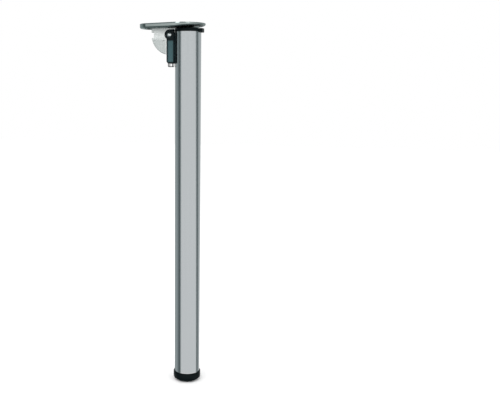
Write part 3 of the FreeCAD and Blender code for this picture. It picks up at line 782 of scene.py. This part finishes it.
def paint_polish(mesh):
    """`polish` is 1 where the bead is buffed, falling to 0 on the floor and the wide end.

    The second attribute is 1 on the land of the half disc and 0.6 on its outer
    fields, where it lightens the colour: partly the brighter machined land, partly a
    painted highlight for the glare on the disc's side faces. Both are kept on face
    corners, so that the flat top and the disc's rim stay as cast."""
    polish = mesh.attributes.new("polish", "FLOAT", "CORNER")
    machined_and_glare = mesh.attributes.new("machined_and_glare", "FLOAT", "CORNER")
    for face in mesh.polygons:
        on_top = face.normal.z > 0.99
        on_side = abs(face.normal.y) > 0.9 and abs(face.center.y) < 6.0 * MM
        on_land = abs(face.center.y) > (DISC_HALF - LAND_STEP / 2) * MM
        hanging = on_side and face.center.z < -9.0 * MM
        for corner in face.loop_indices:
            x, y, z = mesh.vertices[mesh.loops[corner].vertex_index].co / MM
            bead = 1.0 - min(max((distance_inside(x, y) - BEAD_WIDTH) / 1.5, 0.0), 1.0)
            along = min(max((x - PX - 30.0) / 24.0, 0.0), 1.0)
            polish.data[corner].value = 0.0 if on_top else bead * (1.0 - along)
            # This lightening of the disc's side faces is partly machining and partly a painted highlight.
            machined_and_glare.data[corner].value = (1.0 if on_land else 0.6) * hanging


def distance_inside(x, y):
    """How far a point lies inside the egg outline, in millimetres."""
    best = -1e9
    for share in (0.0, 0.25, 0.5, 0.75, 1.0):
        centre = WIDE[0] + (NARROW[0] - WIDE[0]) * share
        radius = WIDE[1] + (NARROW[1] - WIDE[1]) * share
        best = max(best, radius - math.hypot(x - centre, y))
    return best


plate = mounting_plate()

# %% [markdown]
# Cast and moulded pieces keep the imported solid's shape, but a real edge is never
# sharp. A copy of each mesh is merged, its flat faces are joined, and its edges are
# rounded by a small bevel that catches the light.

# %% Softened copies


def softened_copy(node, width_mm, segments=3, flat_degrees=1.0):
    mesh = frame["nodes"][node].data.copy()
    work = bmesh.new()
    work.from_mesh(mesh)
    bmesh.ops.remove_doubles(work, verts=work.verts, dist=2e-6)
    bmesh.ops.dissolve_limit(
        work, angle_limit=math.radians(flat_degrees), verts=work.verts, edges=work.edges,
    )
    work.to_mesh(mesh)
    work.free()
    piece = add_object(node + "_shape", mesh)
    if width_mm:
        soften(piece, width_mm, segments)
    shade(piece.data, 34.0)
    return dress(piece, node)


EDGE_ROUNDS_MM = {
    "top_cap": 0.6,
    "hinge_bracket": 0.35,
    "pull_ring": 0.2,
    "lock_bolt": 0.15,
    "spring_seat": 0.1,
    "insert_nut": 0.3,
    "backing_strip_front": 0.15,
    "backing_strip_back": 0.15,
}
for node, width in EDGE_ROUNDS_MM.items():
    softened_copy(node, width)

# %% [markdown]
# The foot is turned as well: a round black cup with a softly rounded shoulder, a
# deep bevel down to its sole, and the ring-shaped core that keeps its wall even.

# %% Foot
SOLE_RADIUS = 20.0
SOLE_BEVEL = 5.5
CORE = (12.0, 18.0, 12.0)
HUB_RECESS = 2.0
SOCKET_ACROSS = 17.0
STUD_RADIUS = 5.0


def foot_glide():
    low, high = (Vector(corner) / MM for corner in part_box("foot_glide"))
    rim = high.x
    hub = low.z + HUB_RECESS
    bevel = [
        (SOLE_RADIUS, low.z), (SOLE_RADIUS + 0.8, low.z + 0.15),
        (rim - 0.5, low.z + SOLE_BEVEL - 0.6), (rim, low.z + SOLE_BEVEL + 0.6),
    ]
    shoulder = [(rim, high.z - 0.8), (rim - 0.25, high.z - 0.25), (rim - 0.8, high.z)]
    core = [
        (CORE[1], low.z), (CORE[1], low.z + CORE[2]), (CORE[0], low.z + CORE[2]), (CORE[0], hub),
    ]
    profile = [(0, hub), *reversed(core), *bevel, *shoulder, (0, high.z)]
    foot = turned("foot_cup", profile, 128)
    head = rod("hexagon", SOCKET_ACROSS / math.sqrt(3), hub - 1, hub + 6.4, steps=6)
    head.data.transform(Matrix.Rotation(math.radians(30), 4, "Z"))
    carve(foot, [head, rod("stud_bore", STUD_RADIUS, hub - 1, high.z + 1)])
    shade(foot.data)
    return dress(foot, "foot_glide")


foot = foot_glide()

# %% [markdown]
# The rivet is one turned piece on the fold axis. Its two heads are true domes,
# so that they draw a small bright image of the light tent.

# %% Rivet
PIN_LOW, PIN_HIGH = (Vector(corner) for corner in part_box("pivot_pin"))
PIN_SHAFT = 4.0
PIN_HEAD = 4.9
PIN_HEAD_HEIGHT = 2.4


def dome_arc(steps=14):
    """(radius, height) of a domed head, from its rim up to its crown."""
    ball = (PIN_HEAD ** 2 + PIN_HEAD_HEIGHT ** 2) / (2 * PIN_HEAD_HEIGHT)
    half = math.asin(PIN_HEAD / ball)
    arc = []
    for step in range(steps + 1):
        angle = half * (1 - step / steps)
        arc.append((ball * math.sin(angle), PIN_HEAD_HEIGHT - ball * (1 - math.cos(angle))))
    arc[-1] = (0, PIN_HEAD_HEIGHT)
    return arc


def pivot_pin():
    front = PIN_LOW.y / MM + PIN_HEAD_HEIGHT
    back = PIN_HIGH.y / MM - PIN_HEAD_HEIGHT
    profile = [(radius, front - height) for radius, height in reversed(dome_arc())]
    profile += [(PIN_SHAFT, front), (PIN_SHAFT, back)]
    profile += [(radius, back + height) for radius, height in dome_arc()]
    centre = Vector((PIVOT.x, 0, PIVOT.z))
    rivet = turned("rivet", profile, 64, centre, (0, 1, 0))
    shade(rivet.data)
    return dress(rivet, "pivot_pin")


pin = pivot_pin()

# %% [markdown]
# Four equal screws hold the fork. One cheese-head screw with a hexagon socket is
# modelled, and a node tree sets it on a line of points, once to each side. The number
# of rows, the angle, the lowest height and the gap are its inputs. It ends in real
# geometry with the material set, which is then kept as a plain mesh.

# %% A node tree builder


class Tree:
    """A geometry node tree with named inputs, built one node at a time."""

    def __init__(self, name, **inputs):
        self.tree = bpy.data.node_groups.new(name, "GeometryNodeTree")
        self.ids = {}
        kinds = {float: "NodeSocketFloat", int: "NodeSocketInt", bpy.types.Object: "NodeSocketObject"}
        for label, value in inputs.items():
            made = self.tree.interface.new_socket(
                label, in_out="INPUT", socket_type=kinds[type(value)],
            )
            self.ids[label] = made.identifier
        self.values = inputs
        self.tree.interface.new_socket("Geometry", in_out="OUTPUT", socket_type="NodeSocketGeometry")
        self.input = self.tree.nodes.new("NodeGroupInput")
        self.output = self.tree.nodes.new("NodeGroupOutput")

    def value(self, label):
        return Wire(self.tree, self.input.outputs[label])

    def node(self, kind, out, settings=(), **inputs):
        return add_node(self.tree, kind, out, settings, inputs)

    def joined(self, parts):
        join = self.tree.nodes.new("GeometryNodeJoinGeometry")
        for part in parts:
            feed(self.tree, join.inputs[0], part)
        return Wire(self.tree, join.outputs[0])

    def baked(self, name, geometry, material):
        """Realizes the geometry, sets its material and returns it as a plain mesh object."""
        real = self.node("GeometryNodeRealizeInstances", "Geometry", Geometry=geometry)
        done = self.node("GeometryNodeSetMaterial", "Geometry", Geometry=real, Material=material)
        feed(self.tree, self.output.inputs[0], done)
        holder = add_object(name, bpy.data.meshes.new(name))
        step = holder.modifiers.new(name, "NODES")
        step.node_group = self.tree
        for label, value in self.values.items():
            step[self.ids[label]] = value
        return applied(holder)


# %% Bracket screws
SHANK_RADIUS = 2.0
HEAD_RADIUS = 3.2
HEAD_DEPTH = 1.4
SOCKET_RADIUS = 1.45
SOCKET_DEPTH = 1.0
SEAT = 27.6 - HEAD_DEPTH
POINT = 19.6
THREAD_PITCH = 0.7


def screw_shape():
    """One screw along +X: a threaded shank, a head with a soft rim and a hexagon socket."""
    top = SEAT + HEAD_DEPTH
    thread = []
    along = POINT + 0.6
    while along < SEAT - 2.0:
        thread += [(SHANK_RADIUS, along), (SHANK_RADIUS - 0.35, along + THREAD_PITCH / 2)]
        along += THREAD_PITCH
    profile = [
        (0, POINT), (SHANK_RADIUS - 0.6, POINT), *thread, (SHANK_RADIUS, SEAT - 1.6),
        (SHANK_RADIUS, SEAT), (HEAD_RADIUS, SEAT), (HEAD_RADIUS, top - 0.25),
        (HEAD_RADIUS - 0.25, top), (0, top),
    ]
    screw = turned("screw", profile, 32, axis=(1, 0, 0))
    return carve(screw, [rod("socket", SOCKET_RADIUS, top - SOCKET_DEPTH, top + 1, (0, 0, 0), (1, 0, 0), 6)])


def bracket_screws():
    shape = screw_shape()
    shade(shape.data)
    tree = Tree(
        "screws", shape=shape, rows=len(SCREW_HEIGHTS), angle=math.radians(SCREW_ANGLE),
        low=SCREW_HEIGHTS[1] * MM, gap=(SCREW_HEIGHTS[0] - SCREW_HEIGHTS[1]) * MM,
    )
    screw = tree.node("GeometryNodeObjectInfo", "Geometry", Object=tree.value("shape"))
    start = tree.node("ShaderNodeCombineXYZ", "Vector", Z=tree.value("low"))
    offset = tree.node("ShaderNodeCombineXYZ", "Vector", Z=tree.value("gap"))
    line = tree.node(
        "GeometryNodeMeshLine", "Mesh",
        Count=tree.value("rows"), Start_Location=start, Offset=offset,
    )
    columns = []
    for side in (-1.0, 1.0):
        turn = tree.value("angle") * side + math.pi
        rotation = tree.node("ShaderNodeCombineXYZ", "Vector", Z=turn)
        columns.append(tree.node(
            "GeometryNodeInstanceOnPoints", "Instances",
            Points=line, Instance=screw, Rotation=rotation,
        ))
    screws = tree.baked("fork_screws", tree.joined(columns), FINISHES["black_screws"])
    bpy.data.objects.remove(shape, do_unlink=True)
    shade(screws.data)
    return dress(screws, "bracket_screws")


screws = bracket_screws()

# %% [markdown]
# The lock spring follows a rule too: a spiral curve swept by a round wire. Its radius,
# length, turns and wire are the tree's inputs; radius and length are read from the
# imported spring's box.

# %% Lock spring
SPRING_TURNS = 3.5
WIRE_RADIUS = 0.4


def lock_spring():
    low, high = (Vector(corner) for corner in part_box("lock_spring"))
    wire = WIRE_RADIUS * MM
    radius = (high.y - low.y) / 2 - wire
    tree = Tree(
        "spring", radius=radius, length=high.z - low.z - 2 * wire, turns=SPRING_TURNS, wire=wire,
        across=PIVOT.x, start=low.z + wire,
    )
    spiral = tree.node(
        "GeometryNodeCurveSpiral", "Curve", Resolution=32, Rotations=tree.value("turns"),
        Start_Radius=tree.value("radius"), End_Radius=tree.value("radius"),
        Height=tree.value("length"),
    )
    ring = tree.node(
        "GeometryNodeCurvePrimitiveCircle", "Curve", Resolution=12, Radius=tree.value("wire"),
    )
    coil = tree.node(
        "GeometryNodeCurveToMesh", "Mesh", Curve=spiral, Profile_Curve=ring, Fill_Caps=True,
    )
    place = tree.node(
        "ShaderNodeCombineXYZ", "Vector", X=tree.value("across"), Z=tree.value("start"),
    )
    moved = tree.node("GeometryNodeTransform", "Geometry", Geometry=coil, Translation=place)
    spring = tree.baked("lock_coil", moved, FINISHES["spring_steel"])
    outward(spring.data)
    shade(spring.data)
    return dress(spring, "lock_spring")


spring = lock_spring()

# %% [markdown]
# The other pieces are turned, moulded or drawn to a shape that is right as packed. They
# only take their finish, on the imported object's own material slots.

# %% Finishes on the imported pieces
DONE = {"leg_tube", "mounting_plate", "foot_glide", "pivot_pin", "bracket_screws", "lock_spring"}
DONE.update(EDGE_ROUNDS_MM)
for node, thing in frame["nodes"].items():
    if node in DONE:
        continue
    thing.data.materials.clear()
    thing.data.materials.append(FINISHES[SLOT_OF[node]])
    print(node, "takes", SLOT_OF[node])

# %% [markdown]
# The camera was fitted to the photograph: the tube's two sides, the arcs of its ends
# and the plate's outline give its distance, height, tilt and focal length. The leg
# stands left of the middle, so the lens is shifted and the view stays level.

# %% Camera
AZIMUTH = 15.5
DISTANCE = 1.4006
HEIGHT = -0.1222
PITCH = 8.85
ROLL = 0.22
FOCAL_PX = 716.75
AXIS_PX = 187.6
IMAGE = (500.0, 400.0)
SENSOR = 36.0


def add_camera():
    data = bpy.data.cameras.new("camera")
    data.sensor_width = SENSOR
    data.lens = FOCAL_PX * SENSOR / IMAGE[0]
    data.shift_x = (IMAGE[0] / 2 - AXIS_PX) / IMAGE[0]
    data.clip_start = 0.01
    data.clip_end = 50.0
    camera = add_object("camera", data)
    turn = math.radians(AZIMUTH)
    camera.location = (DISTANCE * math.sin(turn), -DISTANCE * math.cos(turn), HEIGHT)
    aim = Matrix.Rotation(turn, 4, "Z") @ Matrix.Rotation(math.radians(90.0 - PITCH), 4, "X")
    camera.rotation_euler = (aim @ Matrix.Rotation(math.radians(ROLL), 4, "Z")).to_euler()
    bpy.context.scene.camera = camera
    return camera


camera = add_camera()
print("lens, mm:", round(camera.data.lens, 2))

# %% [markdown]
# The studio has a white floor, one large soft lamp from the front left and a weaker one
# from the right. The world is plain white to the eye and to matte surfaces. In
# reflections it is a light tent: two dark gaps draw the long bands along the tube, two
# bright windows overhead draw the glints on the plate's rim, and the ground is dark.

# %% World and floor


def studio_world():
    world = bpy.data.worlds.new("studio")
    bpy.context.scene.world = world
    world.use_nodes = True
    tree = world.node_tree
    tree.nodes.clear()
    output = tree.nodes.new("ShaderNodeOutputWorld")
    path = tree.nodes.new("ShaderNodeLightPath")
    place = tree.nodes.new("ShaderNodeTexCoord")
    split = tree.nodes.new("ShaderNodeSeparateXYZ")
    tree.links.new(place.outputs["Generated"], split.inputs[0])
    x, y, z = (Wire(tree, socket) for socket in split.outputs)
    turn = math.radians(AZIMUTH)
    side = x * math.cos(turn) + y * math.sin(turn)
    ahead = x * math.sin(turn) - y * math.cos(turn)
    around = side.math("ARCTAN2", side, ahead) * (180.0 / math.pi)
    glossy = tent(around, z)
    emission = tree.nodes.new("ShaderNodeBackground")
    matte = 1.06
    mirrored = Wire(tree, path.outputs["Is Glossy Ray"])
    seen = Wire(tree, path.outputs["Is Camera Ray"])
    strength = seen + (1 - seen) * (mirrored * glossy + (1 - mirrored) * matte)
    feed(tree, emission.inputs["Strength"], strength)
    tint = tree.nodes.new("ShaderNodeMix")
    tint.data_type = "RGBA"
    feed(tree, tint.inputs[0], mirrored * (1 - glossy.smooth(0.1, 0.9)))
    feed(tree, tint.inputs[6], (1.0, 1.0, 1.0, 1.0))
    feed(tree, tint.inputs[7], (0.84, 1.02, 1.04, 1.0))
    tree.links.new(tint.outputs[2], emission.inputs["Color"])
    tree.links.new(emission.outputs[0], output.inputs[0])


def tent(around, height):
    """Brightness of the light tent by the angle round from the camera.

    White ahead, a dark gap on each side and grey walls behind the leg. The gaps lean
    outwards towards the floor, so that they run straight down the tube. Overhead it is
    dim but for two bright windows, and the ground in front is dark."""
    left = 0.0 - around - height * 12.0
    right = around + height * 55.0
    gaps = left.smooth(60.0, 74.0) + right.smooth(70.0, 84.0)
    walls = left.smooth(76.0, 118.0) * 0.34 + right.smooth(88.0, 116.0) * 0.52
    sides = 0.96 - gaps * 0.83 + walls
    windows = window(around, -34.0, 11.0) + window(around, 24.0, 9.0)
    roof = height.smooth(0.24, 0.36)
    overhead = 0.30 + windows * 3.2 * (1 - height.smooth(0.85, 0.95))
    ground = (0.0 - height).smooth(0.5, 0.72)
    return sides * (1 - roof) * (1 - ground) + overhead * roof + ground * 0.16


def window(around, middle, half_width):
    """1 within half_width degrees of the middle, with soft sides."""
    offset = (around - middle).absolute()
    return 1 - offset.smooth(half_width - 3.0, half_width + 3.0)


def white_floor():
    size = 6.0
    floor = mesh_object("floor", [
        (-size, -size, TUBE_LOW.z), (size, -size, 0), (size, size, 0), (-size, size, 0),
    ], [(0, 1, 2, 3)])
    ground = CAD_BOX[0][2]
    for vertex in floor.data.vertices:
        vertex.co.z = ground
    finish = Finish("floor_white", (0.99, 0.99, 0.99), roughness=0.9)
    finish.put("Specular IOR Level", 0.0)
    below = finish.node("ShaderNodeNewGeometry", "Backfacing")
    mirrored = finish.node("ShaderNodeLightPath", "Is Glossy Ray")
    finish.put("Alpha", (1 - mirrored) * (1 - below))
    floor.data.materials.append(finish.material)
    return floor


def soft_lamp(name, around, up, distance, size, watts):
    """A square lamp that looks at the leg's middle."""
    data = bpy.data.lights.new(name, "AREA")
    data.shape = "SQUARE"
    data.size = size
    data.energy = watts
    lamp = add_object(name, data)
    lamp.visible_glossy = False
    turn = math.radians(AZIMUTH + around)
    rise = math.radians(up)
    middle = Vector((0, 0, -0.3))
    away = Vector((
        math.sin(turn) * math.cos(rise), -math.cos(turn) * math.cos(rise), math.sin(rise),
    ))
    lamp.location = middle + away * distance
    lamp.rotation_euler = away.to_track_quat("Z", "Y").to_euler()
    return lamp


studio_world()
white_floor()
soft_lamp("key", -35, 50, 2.4, 1.8, 14.0)
soft_lamp("fill", 50, 35, 2.4, 1.8, 8.0)
scene = bpy.context.scene
scene.view_settings.view_transform = "Standard"
